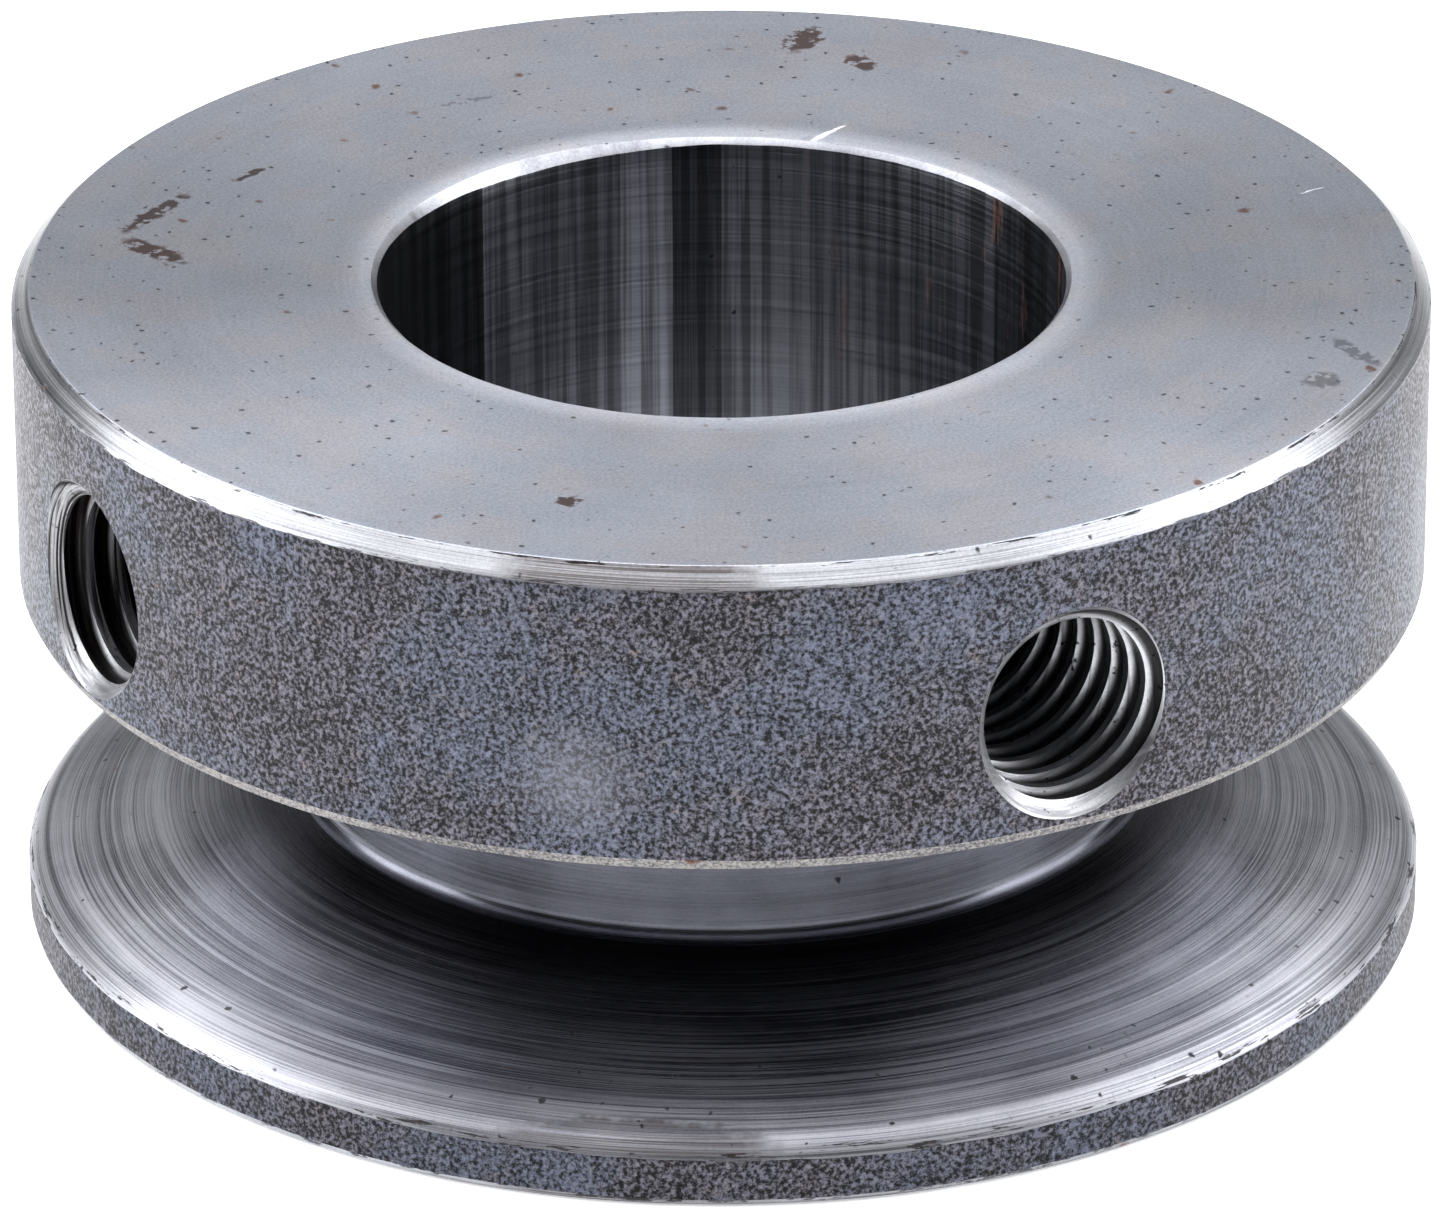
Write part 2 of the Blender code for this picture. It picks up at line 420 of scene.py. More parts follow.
# %% The faced end
face = TurnedSteel("faced_end", (0.66, 0.67, 0.73, 1), (0.29, 0.305, 0.36, 1),
                   0.07, 0.12, 0.30, 0.42, 0.5, 0.14)
face.gloss = 0.43
upper_end = face.band(face.z, 20, 30)
broken_up = face.band(face.noise(face.mm, 1.6, 3.0, 0.6), 0.38, 0.48)
crust = face.sum("MULTIPLY", upper_end, broken_up)
for x, y, length, width, turn in (
        (-20, 19, 6, 1, 30), (-22, 15, 1.5, 4.5, 20), (-14, 21, 2.5, 0.5, 25),
        (17, 23, 4, 2, 40), (18, 19, 1.5, 2.5, 0), (-18, -19, 1.5, 1, -20)):
    face.stain(face.sum("MULTIPLY", face.mark(x, y, length, width, turn), crust), STAIN, 0.92)
for x, y, length, width, turn in (
        (-1, 24, 3.5, 0.5, 0), (21, -22, 4, 1, -85), (18, -24, 2, 2, 0)):
    smudge = face.mark(x, y, length, width, turn, 0.7)
    face.stain(face.sum("MULTIPLY", smudge, crust), SOOT, 0.65)
near_rim = face.band(face.radius, 31.2, 32.0)
face.stain(face.sum("MULTIPLY", near_rim, face.specks(1.9, 0.6, 0.26, 5.0)), SOOT, 0.8)
nick = face.sum("MULTIPLY", upper_end, face.mark(12, 12, 3.5, 0.3, 20, 0.2))
face.stain(nick, (0.95, 0.95, 0.98, 1), 1.0, 0.5)
# A painted shade darkens one end of the nick.
shade = face.sum("MULTIPLY", upper_end, face.mark(11, 12, 1.5, 0.5, 20, 0.2))
face.stain(shade, SOOT, 0.5)
scratch = face.sum("MULTIPLY", upper_end, face.mark(29, -5, 1.5, 0.1, 5, 0.3))
face.stain(scratch, (0.9, 0.9, 0.95, 1), 0.8)
warmth = face.band(face.noise(face.mm, 0.22, 3.0, 0.6), 0.42, 0.62)
tint = face.blend(warmth, (0.93, 0.97, 1.0, 1), (1.0, 0.975, 0.965, 1))
face.colour = face.blend(1.0, face.colour, tint, "MULTIPLY")
halo = face.sum("MULTIPLY", face.band(face.radius, 18.3, 16.3), face.broad)
face.stain(halo, (0.85, 0.86, 0.92, 1), 0.45)
face_steel = face.finish(0.15, 0.1)

# %% [markdown]
# The chamfer and the groove were cut with a coarser feed, so their rings are strong. Scale from
# the skin stays in dashes along their edges, and rust sits at one place on the chamfer and the
# flank below it. The groove is painted darker towards its floor as painted shade: its sides go near
# black there, and the floor is given a darker tone for the same painted shade.

# %% The chamfer, the groove's sides and its floor
def worn_edge(finish, inner, outer, share, colour):
    """Stains a cut's edge with dashes that lie round the pulley, thickest at the outer radius."""
    dashes = finish.noise(finish.around(3.0, 14.0), 1.0, 4.0, 0.7)
    near = finish.band(finish.radius, inner, outer)
    where = finish.band(finish.sum("MULTIPLY", dashes, near), share, share + 0.05)
    finish.stain(where, colour, 0.9)


chamfer = TurnedSteel("cut_chamfer", (0.70, 0.71, 0.76, 1), (0.24, 0.245, 0.27, 1),
                      0.60, 0.25, 0.15, 0.33, 0.5, 0.05)
worn_edge(chamfer, 32.50, 32.15, 0.52, SOOT)
worn_edge(chamfer, 32.50, 32.95, 0.50, (0.12, 0.12, 0.14, 1))
rusted = chamfer.mark(*RUST_SPOT, 12.0, 5.0, -35, 1.5)
rusted = chamfer.sum("MULTIPLY", rusted, chamfer.band(chamfer.fine, 0.38, 0.58))
chamfer.stain(rusted, STAIN, 0.75)
chamfer_steel = chamfer.finish(2.0)

edge = TurnedSteel("broken_edge", (0.46, 0.44, 0.43, 1), (0.12, 0.12, 0.13, 1),
                   0.2, 0.3, 0.9, 0.5, 0.2, 0.08)
edge_steel = edge.finish(2.0)

lip = TurnedSteel("bore_lip", (0.60, 0.61, 0.66, 1), (0.24, 0.245, 0.28, 1),
                  0.60, 0.30, 0.20, 0.38, 0.5, 0.08)
lip_steel = lip.finish(1.5)

flank = TurnedSteel("grooved_flank", (0.58, 0.585, 0.64, 1), (0.17, 0.175, 0.205, 1),
                    0.80, 0.30, 0.10, 0.26, 0.6, 0.03)
# Painted shade: the sides go near black towards the groove's floor.
flank.stain(flank.band(flank.radius, 27.5, 21.0), (0.008, 0.008, 0.010, 1), 0.96, 0.3)
flank.gloss = flank.sum("ADD", flank.gloss, flank.band(flank.radius, 28.5, 31.5, 0.0, 0.14))
worn_edge(flank, 31.8, 32.9, 0.54, (0.05, 0.045, 0.045, 1))
near_rim = flank.band(flank.radius, 29.0, 31.0)
flank.stain(flank.sum("MULTIPLY", near_rim, flank.specks(1.3, 0.30, 0.24, 9.0)), SOOT, 0.85)
rusted = flank.mark(*RUST_SPOT, 14.0, 3.0, -35, 1.5)
rusted = flank.sum("MULTIPLY", rusted, flank.band(flank.fine, 0.42, 0.60))
flank.stain(rusted, STAIN, 0.7)
flank_steel = flank.finish(1.5)

# The floor's darker tone is painted shade.
floor_cut = TurnedSteel("groove_floor", (0.20, 0.206, 0.245, 1), (0.055, 0.057, 0.070, 1),
                        0.25, 0.35, 0.1, 0.26, 0.5, 0.01)
floor_steel = floor_cut.finish(0.8)

# %% [markdown]
# The bore is painted with its reflections. Round the bore its wall goes through a few broad tones,
# some of them brown: painted reflection bands, placed by the angle from the bore's far side as the
# camera sees it. They are bands over the share of half a turn, from one side of the bore to the
# other, and a noise squeezed in height draws thin upright painted reflection streaks in them. Old
# oil left brown runs down one side.

# %% The bore
BLUE_GREY, BRIGHT_GREY, DIM_GREY = 0.45, 0.70, 0.35
BROWN, NEARLY_BLACK = (0.20, 0.165, 0.15), (0.09, 0.085, 0.09)
REFLECTION_BANDS = [(0.0, NEARLY_BLACK), (0.25, BLUE_GREY), (0.4, BRIGHT_GREY), (0.45, BROWN),
         (0.5, BLUE_GREY), (0.7, DIM_GREY), (0.8, BROWN)]
bore_cut = TurnedSteel("reamed_bore", (0.86, 0.89, 1.0, 1), (0.58, 0.60, 0.70, 1),
                       0.40, 0.15, 0.08, 0.34, 0.3, 0.02)
FAR_SIDE = math.radians(61.5)
sideways = (math.sin(FAR_SIDE), -math.cos(FAR_SIDE), 0)
away = (math.cos(FAR_SIDE), math.sin(FAR_SIDE), 0)
across = bore_cut.vector("DOT_PRODUCT", bore_cut.mm, sideways)
along_view = bore_cut.vector("DOT_PRODUCT", bore_cut.mm, away)
bearing = bore_cut.sum("ARCTAN2", across, along_view)
share = bore_cut.sum("ADD", bore_cut.sum("MULTIPLY", bearing, 1 / math.pi), 0.5)
round_place = bore_cut.vector("MULTIPLY", bore_cut.mm, (1, 1, 0.015))
thin = bore_cut.noise(round_place, 1.6, 3.0, 0.75)
line_cells = bore_cut.noise(bore_cut.vector("ADD", round_place, (7, 3, 0)), 0.8, 2.0, 0.6)
thin = bore_cut.sum("MULTIPLY", thin, bore_cut.band(line_cells, 0.36, 0.40, 0.72, 1.0))
# Painted reflections: the wall's broad tones are bands fixed to its far side as the camera sees it,
# and thin painted streaks break them up.
reflection_tones = bore_cut.ramp(share, REFLECTION_BANDS, "CONSTANT")
reflection_streaks = bore_cut.sum("MULTIPLY", reflection_tones, bore_cut.band(thin, 0.36, 0.60, 0.50, 1.20))
bore_cut.colour = bore_cut.blend(1.0, bore_cut.colour, reflection_streaks, "MULTIPLY")
rust_run = bore_cut.noise(bore_cut.vector("MULTIPLY", bore_cut.mm, (1, 1, 0.12)), 1.3, 3.0, 0.65)
rusty_side = bore_cut.band(share, 0.40, 0.80)
rusty = bore_cut.sum("MULTIPLY", bore_cut.band(rust_run, 0.60, 0.68), rusty_side)
bore_cut.stain(rusty, RUST, 0.6)
bore_steel = bore_cut.finish(0.5)

# %% [markdown]
# The tap left bright crests. Past the countersink, the thread's roots are painted near black as
# painted shade, and the countersink stays bright. Each hole lies along an axis, so the nearer of
# |x| and |y| with the height gives the distance from its axis, and the farther one says how deep a
# point lies. One recipe then serves both holes.

# %% The threads
thread = TurnedSteel("tapped_thread", (0.74, 0.745, 0.78, 1), (0.40, 0.405, 0.44, 1),
                     0.0, 0.2, 0.2, 0.36, 0.0, 0.01)
slow = thread.vector("SCALE", thread.mm, scale=0.25)
ringed = thread.point(0, 0, thread.sum("MULTIPLY", thread.radius, 6.0))
thread.fine = thread.noise(thread.vector("ADD", slow, ringed), 1.0, 3.0, 0.6)
dark_ring = thread.band(thread.fine, 0.52, 0.40)
thread.stain(dark_ring, (0.16, 0.16, 0.18, 1), 0.45)
height_off = thread.sum("SUBTRACT", thread.z, hole_height / MM)
from_x, from_y = thread.sum("ABSOLUTE", thread.x), thread.sum("ABSOLUTE", thread.y)
nearer = thread.sum("MINIMUM", from_x, from_y)
reach = thread.vector("LENGTH", thread.point(nearer, height_off, 0))
farther = thread.sum("MAXIMUM", from_x, from_y)
past_sink = thread.sum("ADD", thread.sum("SUBTRACT", reach, farther), (bar - COUNTERSINK) / MM)
# Painted shade: past the countersink, the thread's roots go near black.
root_shade = thread.sum("MULTIPLY", thread.band(reach, 4.30, 4.62), thread.band(past_sink, 0.05, 0.15))
thread.stain(root_shade, (0.012, 0.011, 0.012, 1), 0.94)
# The threads go darker in lines round one spot near the mouth of the left hole.
from_dark_spot = thread.vector("LENGTH", thread.vector("SUBTRACT", thread.mm, DARK_THREAD_SPOT))
lines = thread.band(thread.fine, 0.60, 0.44, 0.25, 1.0)
darker_lines = thread.sum("MULTIPLY", thread.band(from_dark_spot, 7.5, 4.5), lines)
thread.stain(darker_lines, (0.014, 0.009, 0.006, 1), 0.93)
crumbs = thread.band(thread.noise(thread.mm, 2.2, 3.0, 0.6), 0.64, 0.70)
thread.stain(crumbs, SOOT, 0.8)
thread_steel = thread.finish(1.0, 0.0)

# %% [markdown]
# Hot rolling leaves a scale on the bar, tight and blue-grey, with pits where flakes came away and
# brown where it rusted. One noise is both the pits' depth and their tone, so that every dark
# spot is also a hollow, and slower noises set where the tint turns warm.

# %% The bar's skin
def rolled_skin(name):
    """The bar's own skin: a tight grey-blue scale, closely pitted, with brown where it rusted."""
    skin = Finish(name, 0.45, 0.7)
    skin.shader.inputs["Coat Weight"].default_value = 0.28
    skin.shader.inputs["Specular IOR Level"].default_value = 0.25
    skin.shader.inputs["Coat Roughness"].default_value = 0.3
    grain = skin.noise(skin.mm, 4.6, 5.0, 0.68)
    patch = skin.noise(skin.vector("ADD", skin.mm, (3, 0, 0)), 0.13, 4.0, 0.6)
    level = skin.sum("ADD", grain, skin.sum("MULTIPLY", skin.sum("SUBTRACT", patch, 0.5), 0.18))
    light = skin.ramp(level, [(0.39, 0.002), (0.46, 0.035), (0.52, 0.13), (0.68, 0.29)])
    tint = skin.blend(skin.band(patch, 0.42, 0.60), (0.84, 0.80, 1.0, 1), (0.66, 0.73, 1.0, 1))
    warm = skin.noise(skin.vector("ADD", skin.mm, (5, 40, 11)), 0.9, 5.0, 0.8)
    tint = skin.blend(skin.band(warm, 0.54, 0.72, 0.0, 0.7), tint, (1.0, 0.78, 0.68, 1))
    colour = skin.blend(1.0, light, tint, "MULTIPLY")
    from_rubbed = skin.vector("LENGTH", skin.vector("SUBTRACT", skin.mm, RUBBED_SPOT))
    rubbed = skin.band(from_rubbed, 3.6, 0.3, 0.0, 0.28)
    colour = skin.blend(rubbed, colour, (0.36, 0.36, 0.42, 1))
    return skin.paint(colour, skin.band(level, 0.4, 0.6, 0.6, 0.42), skin.relief(level, 20))


skin_steel = rolled_skin("rolled_skin")
FINISHES = [face_steel, chamfer_steel, skin_steel, flank_steel, floor_steel, bore_steel,
            thread_steel, edge_steel, lip_steel]
FACE, CUT, SKIN, FLANK, FLOOR, BORE, THREAD, EDGE, LIP = range(len(FINISHES))

# %% [markdown]
# The bar was never perfectly round, and the lathe took nothing off its skin. So where a smooth
# cut meets the skin, the line between them wanders. A sum of slow waves, with seeded phases,
# gives how far the skin lies inside the nominal radius all the way round.

# %% How the bar's skin wanders
COLUMNS = 360
angle = np.linspace(0, 2 * np.pi, COLUMNS, endpoint=False)
SKIN_SWING = 0.10 * MM


def wander(turns, strength, seed):
    """Waves round the pulley: the sum over n of cos(n * angle + phase) / n ** strength, scaled
    to run from 0 to 1. The phases are seeded random turns."""
    phases = np.random.default_rng(seed).uniform(0, 2 * np.pi, turns)
    n = np.arange(1, turns + 1)[:, None]
    waves = (np.cos(n * angle[None, :] + phases[:, None]) / n**strength).sum(axis=0)
    return (waves - waves.min()) / (waves.max() - waves.min())


skin_sink = SKIN_SWING * wander(60, 0.7, 3)
rim_sink = SKIN_SWING * wander(60, 0.7, 8)
print("skin wanders by mm:", round(float(np.ptp(skin_sink)) / MM, 3))

# %% [markdown]
# A turned body is a section swung round an axis. Here the section may change as it goes round, so
# each of its corners is an array with one radius and one height for every column of the grid.
# A corner is rounded by an arc between its two tangent points, and the arcs and the straight
# stretches between them make the rows of one closed grid.

# %% Corners, arcs and straight stretches
def ring(radius, level):
    """One corner of the section, all the way round: columns of (radius, height)."""
    return np.stack(np.broadcast_arrays(radius + 0 * angle, level + 0 * angle), axis=-1)


def unit(rows):
    """Each vector divided by its own length."""
    return rows / np.linalg.norm(rows, axis=-1, keepdims=True)


def rounded(before, corner, after, radius, steps):
    """The arc of that radius tangent to both sides of a corner, by turning evenly from one
    tangent point's direction to the other's as seen from the arc's centre."""
    into, out = unit(before - corner), unit(after - corner)
    half = np.arccos(np.clip((into * out).sum(-1), -1, 1))[:, None] / 2
    centre = corner + unit(into + out) * radius / np.sin(half)
    first = unit(corner + into * radius / np.tan(half) - centre)
    last = unit(corner + out * radius / np.tan(half) - centre)
    swing = np.pi - 2 * half
    t = np.linspace(0, 1, steps)[:, None, None]
    direction = np.sin((1 - t) * swing) * first + np.sin(t * swing) * last
    return centre + radius * direction / np.sin(swing)


def between(a, b, steps):
    """Rows strictly between two rows, evenly spaced."""
    t = np.linspace(0, 1, steps + 2)[1:-1, None, None]
    return a * (1 - t) + b * t


# %% [markdown]
# The section runs across the end face, down the outside, across the foot and up the bore. Each
# entry holds a corner, the radius that breaks it, and the finish and number of rows of the
# stretch that follows. Where the chamfer, the broken edge and the shoulder reach the skin, the
# corner's height follows the wander of the skin, exactly where the two surfaces cross. The end
# face dips a little towards the bore, and the bore's edge break is heavier at one place.

# %% The section of the pulley
CHAMFER = 0.9 * MM
BREAK_DROP = 0.5 * MM
BREAK_DEPTH = 0.3 * MM
FOOT_BREAK = 0.2 * MM
LIP_DROP, LIP_WIDTH = 0.06 * MM, 1.4 * MM
HEAVY_AT, HEAVY_SPREAD = 38, 26
turn_from_far = np.degrees(np.mod(angle - FAR_SIDE + np.pi, 2 * np.pi) - np.pi)
heavy = np.exp(-(((turn_from_far - HEAVY_AT) / HEAVY_SPREAD) ** 2))
bore_break = (0.22 + 0.08 * wander(40, 0.5, 21) + 0.26 * heavy) * MM
side_rise = (bar - core) * side_slope
skin = bar - skin_sink
rim_skin = bar - rim_sink

shoulder_round = 1.9 * MM
shoulder_reach = bar + 0.14 * MM
shoulder_centre = Vector((shoulder_reach - shoulder_round, 0))
flank_normal = math.pi / 2 - math.atan(side_slope)
touch_r = shoulder_centre.x + shoulder_round * math.cos(flank_normal)
touch_z = rim_edge + (bar - touch_r) * side_slope
centre_z = touch_z - shoulder_round * math.sin(flank_normal)
meets = np.arccos((rim_skin - shoulder_centre.x) / shoulder_round)
t = np.linspace(0, 1, 8)[:, None]
sweep = flank_normal + (meets[None, :] - flank_normal) * t
shoulder = np.stack([shoulder_centre.x + shoulder_round * np.cos(sweep),
                     centre_z + shoulder_round * np.sin(sweep)], axis=-1)

face_in = ring(bore + bore_break, height - LIP_DROP)
face_out = ring(bar - CHAMFER, height)
chamfer_foot = ring(skin, height - CHAMFER + skin_sink)
break_top = ring(skin, hub_edge + BREAK_DROP - skin_sink * BREAK_DROP / BREAK_DEPTH)
break_foot = ring(bar - BREAK_DEPTH, hub_edge - BREAK_DEPTH * side_slope)
hub_root = ring(core, hub_edge - side_rise)
rim_root = ring(core, rim_edge + side_rise)
foot_top = ring(rim_skin, FOOT_BREAK * 1.5)
foot_in = ring(bar - FOOT_BREAK, 0)
foot_bore = ring(bore + bore_break, 0)
bore_foot = ring(bore, bore_break)
bore_head = ring(bore, height - LIP_DROP - bore_break)

rows, finishes = [], []


def lay(block, finish):
    """Adds rows of the grid. The faces that lead to each of them get that finish."""
    rows.append(block)
    finishes.extend([finish] * len(block))


TINY = 0.05 * MM
flat_end = between(ring(bore + bore_break, height), face_out, 40)
from_bore = (flat_end[..., 0] - bore - bore_break) / LIP_WIDTH
flat_end[..., 1] -= LIP_DROP * np.clip(1 - from_bore, 0, 1) ** 2
lay(rounded(bore_head, face_in, flat_end[0], TINY, 3), BORE)
lay(flat_end, FACE)
lay(rounded(face_in, face_out, chamfer_foot, 2 * TINY, 4), FACE)
lay(between(face_out, chamfer_foot, 3), CUT)
lay(rounded(face_out, chamfer_foot, break_top, TINY, 3), CUT)
lay(between(chamfer_foot, break_top, 26), SKIN)
lay(rounded(chamfer_foot, break_top, break_foot, TINY, 3), SKIN)
lay(rounded(break_top, break_foot, hub_root, 2 * TINY, 4), EDGE)
lay(between(break_foot, hub_root, 10), FLANK)
lay(rounded(break_foot, hub_root, rim_root, 0.8 * MM, 7), FLANK)
lay(between(hub_root, rim_root, 6)[1:-1], FLOOR)
lay(rounded(hub_root, rim_root, shoulder[0], 0.8 * MM, 7), FLOOR)
lay(between(rim_root, shoulder[0], 22)[2:], FLANK)
lay(shoulder, FLANK)
lay(between(shoulder[-1], foot_top, 6), SKIN)
lay(rounded(shoulder[-1], foot_top, foot_in, TINY, 3), SKIN)
lay(rounded(foot_top, foot_in, foot_bore, TINY, 3), CUT)
lay(between(foot_in, foot_bore, 12), FACE)
lay(rounded(foot_in, foot_bore, bore_foot, TINY, 3), FACE)
lay(rounded(foot_bore, bore_foot, bore_head, TINY, 3), CUT)
lay(between(bore_foot, bore_head, 30), BORE)
lay(rounded(bore_foot, bore_head, face_in, TINY, 3), BORE)
finishes[:3] = [LIP] * 3
section = np.concatenate(rows)
print("section rows:", len(section))

# %% [markdown]
# The grid becomes a mesh in one step: the columns wrap round the axis, the rows wrap round the
# section, and every square of the grid is a face. The finish of a face is the finish of the row
# that it leads to.

# %% A grid made into a mesh
def new_piece(name, points, faces, finish_of, materials):
    """An object in the scene, made of those points and faces, each face with its finish."""
    mesh = bpy.data.meshes.new(name)
    mesh.from_pydata(points, [], faces)
    for material in materials:
        mesh.materials.append(material)
    mesh.polygons.foreach_set("material_index", finish_of)
    mesh.update()
    piece = bpy.data.objects.new(name, mesh)
    bpy.context.scene.collection.objects.link(piece)
    return piece


def grid_faces(row_count, column_count, wrap_rows, wrap_columns):
    """Corner numbers of each square of a grid, as rows of four."""
    r = np.arange(row_count if wrap_rows else row_count - 1)[:, None]
    c = np.arange(column_count if wrap_columns else column_count - 1)[None, :]
    r2, c2 = (r + 1) % row_count, (c + 1) % column_count
    square = np.stack(np.broadcast_arrays(r * column_count + c, r2 * column_count + c,
                                          r2 * column_count + c2, r * column_count + c2), axis=-1)
    return square.reshape(-1, 4)


radius, level = section[..., 0], section[..., 1]
body_points = np.stack([radius * np.cos(angle), radius * np.sin(angle), level], axis=-1)
body_faces = grid_faces(len(section), COLUMNS, True, True)
face_finish = np.repeat(np.roll(np.array(finishes), -1), COLUMNS)
body = new_piece("turned_pulley", body_points.reshape(-1, 3), body_faces, face_finish, FINISHES)
print("body faces:", len(body.data.polygons))

# %% [markdown]
# The two holes and the two screws carry the same thread, so one surface makes both: a grid whose
# rows run along the helix, one turn of it joining the next at the seam. Every crest is then a
# clean edge, and rows that would run past an end are held there, where doubles are merged.

# %% A threaded rod, and its place in the pulley
COLUMNS_OF_THREAD = 96
SAME_PLACE = 2e-6
round_turn = np.linspace(0, 2 * np.pi, COLUMNS_OF_THREAD, endpoint=False)


def thread_radius(along, peak, valley, peak_share, valley_share):
    """A 60 degree thread: each pitch of the helix has a flat peak in its middle, a flat valley
    at its ends, and straight flanks in between. A share is a flat's part of one pitch."""
    away = np.abs(np.mod(along / PITCH - round_turn / (2 * np.pi), 1.0) - 0.5) * 2
    flank = np.clip((away - peak_share) / (1 - peak_share - valley_share), 0, 1)
    return peak + (valley - peak) * flank


def threaded_rod(low, high, peak, valley, peak_share, valley_share, limit):
    """Rows that follow the helix from low to high along +Z, no wider than limit says, and the
    number of rows in one pitch."""
    edges = np.array([valley_share / 2, 0.5 - peak_share / 2,
                      0.5 + peak_share / 2, 1 - valley_share / 2])
    middles = (edges + np.roll(edges, -1)) / 2 + np.array([0, 0, 0, 0.5])
    marks = np.sort(np.mod(np.concatenate([edges, middles]), 1.0))
    pitches = np.arange(math.floor(low / PITCH) - 1, math.ceil(high / PITCH) + 1)
    start = ((pitches[:, None] + marks[None, :]) * PITCH).reshape(-1, 1)
    along = np.clip(start + round_turn * PITCH / (2 * np.pi), low, high)
    wide = np.minimum(thread_radius(along, peak, valley, peak_share, valley_share), limit(along))
    rows = np.stack([wide * np.cos(round_turn), wide * np.sin(round_turn), along], axis=-1)
    return rows, len(marks)


def flat_rows(corners):
    """Round rows, one for each (radius, distance along)."""
    wide = np.array([c[0] for c in corners])[:, None]
    along = np.array([c[1] for c in corners])[:, None] + 0 * round_turn
    return np.stack([wide * np.cos(round_turn), wide * np.sin(round_turn), along], axis=-1)


def outward(quarter):
    """Turns +Z to point out of the pulley along -Y, or a quarter turn on, along -X."""
    return Matrix.Rotation(-quarter * math.pi / 2, 4, "Z") @ Matrix.Rotation(math.pi / 2, 4, "X")


def sew(piece):
    """Merges points that share a place, turns every face outward and counts the open edges."""
    shape = bmesh.new()
    shape.from_mesh(piece.data)
    bmesh.ops.remove_doubles(shape, verts=shape.verts, dist=SAME_PLACE)
    bmesh.ops.recalc_face_normals(shape, faces=shape.faces)
    open_edges = sum(not edge.is_manifold for edge in shape.edges)
    shape.to_mesh(piece.data)
    shape.free()
    return open_edges


def closed_rod(name, blocks, helix, quarter, finish_of_row, materials):
    """One mesh from blocks of rows. The helical block joins its last column to the first one
    a pitch further on. Doubles at the held ends and at the two poles are merged."""
    rows_before = sum(len(block) for block in blocks[:helix])
    marks = blocks[helix][1]
    grids = [block[0] if i == helix else block for i, block in enumerate(blocks)]
    points = np.concatenate(grids)
    count = len(points)
    row = np.arange(count - 1)
    top = rows_before + len(grids[helix]) - 1
    inside = (row >= rows_before) & (row < top)
    last = np.where(inside, np.minimum(row + marks, top), row)
    last_up = np.where(inside, np.minimum(row + 1 + marks, top), row + 1)
    faces = grid_faces(count, COLUMNS_OF_THREAD, False, False).reshape(count - 1, -1, 4)
    end = COLUMNS_OF_THREAD - 1
    seam = np.stack([row * COLUMNS_OF_THREAD + end, (row + 1) * COLUMNS_OF_THREAD + end,
                     last_up * COLUMNS_OF_THREAD, last * COLUMNS_OF_THREAD], axis=-1)
    faces = np.concatenate([faces, seam[:, None]], axis=1)
    place = np.array(outward(quarter).to_3x3())
    mesh_points = points.reshape(-1, 3) @ place.T + np.array([0, 0, hole_height])
    piece = new_piece(name, mesh_points, faces.reshape(-1, 4),
                      np.repeat(finish_of_row[1:], COLUMNS_OF_THREAD), materials)
    print(name, "open edges", sew(piece), "faces", len(piece.data.polygons))
    return piece


# %% [markdown]
# A fitter drills, taps and then countersinks each hole. Here the drilled and tapped hole is one
# threaded rod that reaches from the bore to outside the skin, and the countersink is a short
# cone. Both are taken from the body with exact Booleans, which leave the rest of it as it was.

# %% Cut the two tapped holes
def cut(target, cutter):
    """Takes the cutter's solid out of the target, and removes the cutter."""
    difference = target.modifiers.new("cut", "BOOLEAN")
    difference.operation = "DIFFERENCE"
    difference.solver = "EXACT"
    difference.object = cutter
    graph = bpy.context.evaluated_depsgraph_get()
    result = bpy.data.meshes.new_from_object(target.evaluated_get(graph))
    target.modifiers.clear()
    target.data = result
    bpy.data.objects.remove(cutter)


TAP_FROM, TAP_TO = 0.6 * bore, bar + 2 * MM
HOLE_PEAK_SHARE, HOLE_VALLEY_SHARE = 0.125, 0.298
CONE = [(0, bar - 2 * MM), (COUNTERSINK - 2 * MM, bar - 2 * MM),
        (COUNTERSINK + MM, bar + MM), (0, bar + MM)]
for quarter in (0, 1):
    tap = threaded_rod(TAP_FROM, TAP_TO, MAJOR, MINOR, HOLE_PEAK_SHARE, HOLE_VALLEY_SHARE,
                       lambda along: 1.0)
    ends = [flat_rows([(0, TAP_FROM)]), tap, flat_rows([(0, TAP_TO)])]
    rod = closed_rod("tap", ends, 1, quarter, np.full(len(tap[0]) + 2, THREAD), FINISHES)
    cut(body, rod)
    turned_out = np.array(outward(quarter).to_3x3()).T
    cone_points = flat_rows(CONE).reshape(-1, 3) @ turned_out + np.array([0, 0, hole_height])
    sink = new_piece("countersink", cone_points, grid_faces(4, COLUMNS_OF_THREAD, False, True),
                     np.full(3 * COLUMNS_OF_THREAD, THREAD), FINISHES)
    sew(sink)
    cut(body, sink)
print("body after cutting:", len(body.data.polygons), "faces")

# %% [markdown]
# A grub screw is a short rod with no head. Its inner end is a cone with a hollow cup, whose rim
# bites into the shaft, and its outer end has a hexagon socket for a key. The thread keeps the
# phase of the hole's thread, and it is 0.15 mm slimmer all round, so that it can turn in.

# %% Grub screws
SCREW_PLAY = 0.15 * MM
SCREW_PEAK = MAJOR - SCREW_PLAY
SCREW_VALLEY = MINOR - SCREW_PLAY
SCREW_PEAK_SHARE, SCREW_VALLEY_SHARE = 0.16, 0.262
CUP, CUP_DEPTH = 2.5 * MM, 1.2 * MM
FLATS = 5.0 * MM
KEY_DEPTH, DRILL_DEPTH = 4 * MM, 4.8 * MM


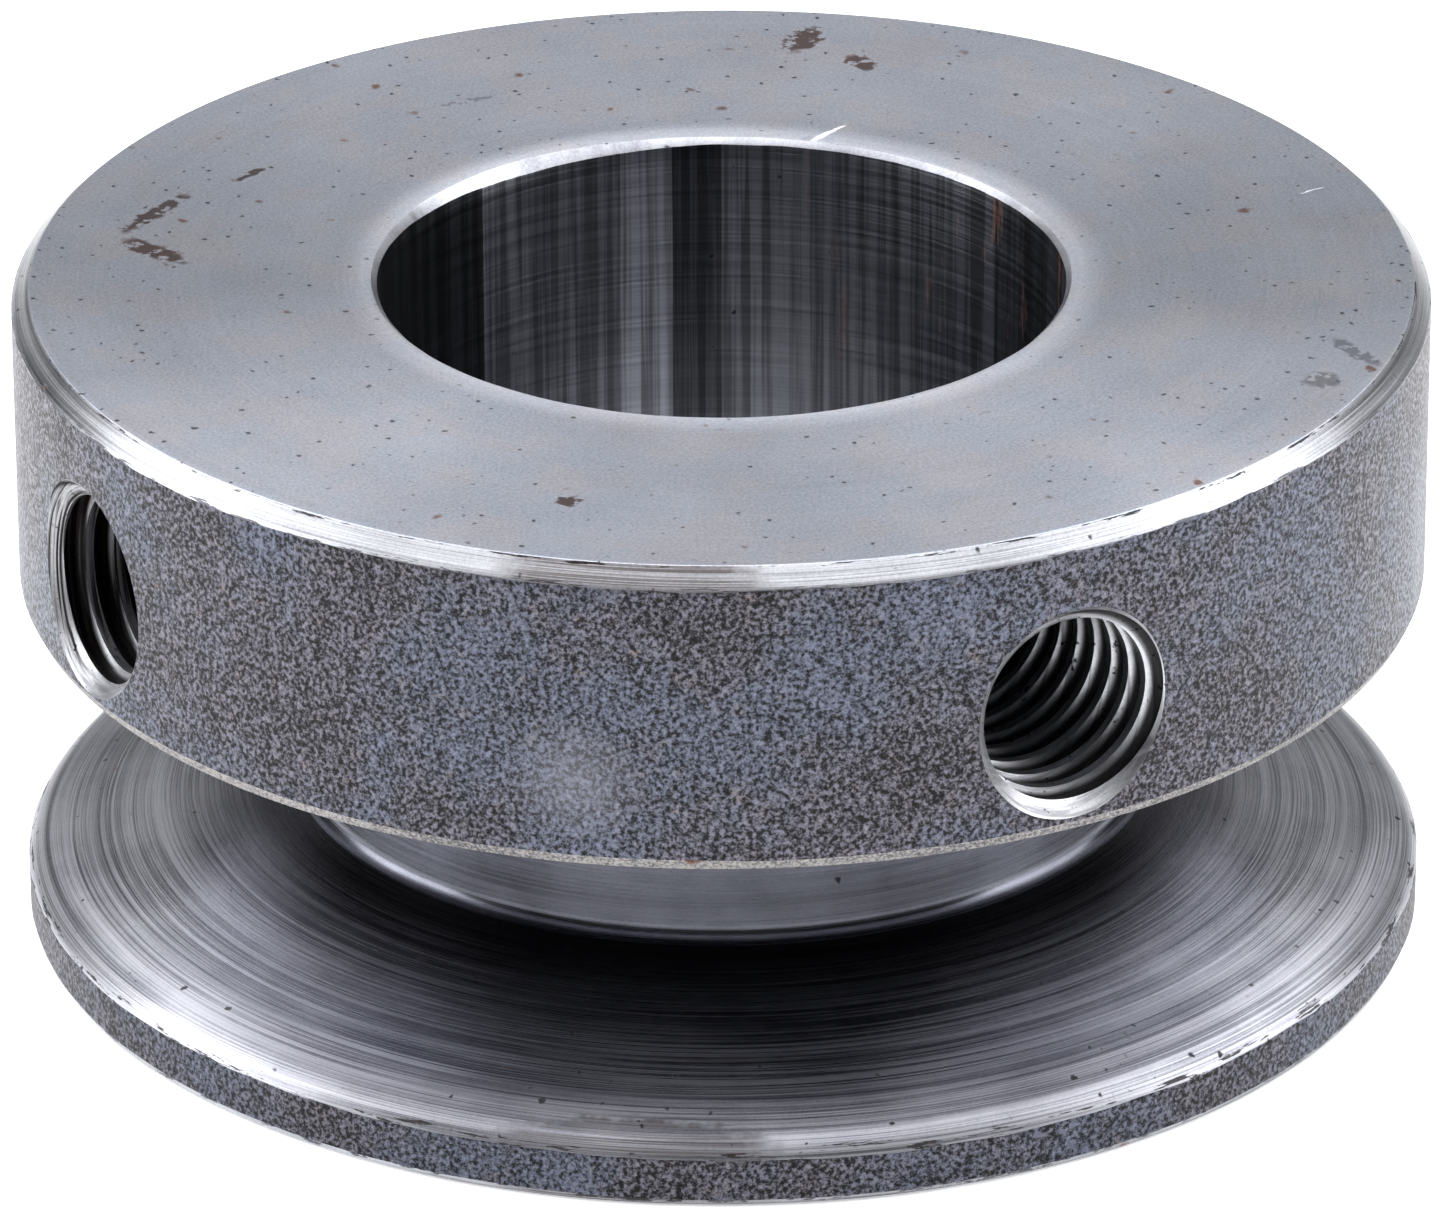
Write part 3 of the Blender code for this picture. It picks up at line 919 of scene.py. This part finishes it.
def hexagon(across_flats, along):
    """One row round a hexagon: at each turn, half the distance between its flats, over the
    cosine of the angle to the middle of the nearest flat."""
    away = np.mod(round_turn + np.pi / 6, np.pi / 3) - np.pi / 6
    wide = across_flats / 2 / np.cos(away)
    row = [wide * np.cos(round_turn), wide * np.sin(round_turn), along + 0 * wide]
    return np.stack(row, axis=-1)[None]


point, top = screw_point, screw_point + screw_length
cone_foot = point + SCREW_VALLEY - CUP
screw_black = TurnedSteel("blackened_screw", (0.10, 0.10, 0.115, 1), SOOT,
                          0.2, 0.3, 0.2, 0.36, 0.0, 0.01)
screw_steel = screw_black.finish(1.0)


def smooth(piece, degrees):
    """Shades a piece smooth, except over edges sharper than that."""
    for face in piece.data.polygons:
        face.use_smooth = True
    piece.data.set_sharp_from_angle(angle=math.radians(degrees))


def grub_screw(name, quarter):
    """One screw in its hole: cup, thread, hexagon socket and the drill's cone at its bottom. Both
    ends of the thread are coned by holding its radius under the distance from the end."""
    rod = threaded_rod(cone_foot, top, SCREW_PEAK, SCREW_VALLEY,
                       SCREW_PEAK_SHARE, SCREW_VALLEY_SHARE,
                       lambda along: np.minimum(CUP + along - point, SCREW_VALLEY + top - along))
    cup = flat_rows([(0, point + CUP_DEPTH), (0.9 * CUP, point + 0.1 * MM),
                     (CUP, point), (SCREW_VALLEY, cone_foot)])
    socket = [hexagon(1.05 * FLATS, top), hexagon(FLATS, top - 0.15 * MM),
              hexagon(FLATS, top - KEY_DEPTH)]
    drill = flat_rows([(0.45 * FLATS, top - KEY_DEPTH), (0, top - DRILL_DEPTH)])
    blocks = [cup, rod, *socket, drill]
    count = sum(len(block[0]) if i == 1 else len(block) for i, block in enumerate(blocks))
    screw = closed_rod(name, blocks, 1, quarter, np.zeros(count, int), [screw_steel])
    smooth(screw, 30)
    return screw


front_screw = grub_screw("threaded_screw_front", 0)
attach(front_screw, "front_screw")
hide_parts("grub_screw_front")
left_screw = grub_screw("threaded_screw_left", 1)
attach(left_screw, "left_screw")
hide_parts("grub_screw_left")

# %% [markdown]
# Last, the body takes the place of its plain solid.

# %% Ride, replace and finish
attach(body, "pulley")
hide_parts("pulley_body")
smooth(body, 35)
